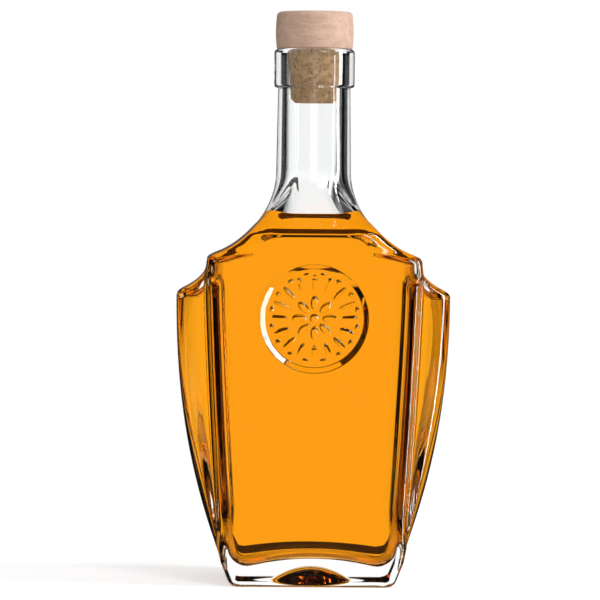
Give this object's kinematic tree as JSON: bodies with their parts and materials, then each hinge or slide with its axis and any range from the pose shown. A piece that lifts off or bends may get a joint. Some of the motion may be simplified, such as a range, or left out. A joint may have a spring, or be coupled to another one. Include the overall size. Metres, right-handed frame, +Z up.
{
  "type": "liquor bottle",
  "caption": "Flat clear glass decanter bottle with stepped side wings, round neck and pressed medallion, filled with amber liquor and closed by a turned wooden stopper that pulls out.",
  "frame": {"origin": "on the table, under the axis of the neck, at the middle of the bottle's foot", "axes": "+Z up along the neck, +X to the right across the front panel, +Y to the back; the panel with the medallion faces -Y"},
  "size_m": [0.1026, 0.062, 0.2149],
  "materials": {
    "clear_glass": "polished",
    "amber_liquor": "polished",
    "pale_wood": "satin",
    "cork": "matte"
  },
  "bodies": {
    "bottle": {"bottle": "clear_glass", "liquor": "amber_liquor"},
    "stopper": {"stopper_head": "pale_wood", "stopper_shank": "cork"}
  },
  "joints": [
    {"name": "stopper_pull", "type": "slide", "parent": "bottle", "child": "stopper", "axis": [0, 0, 1], "range_m": [0, 0.045]}
  ]
}
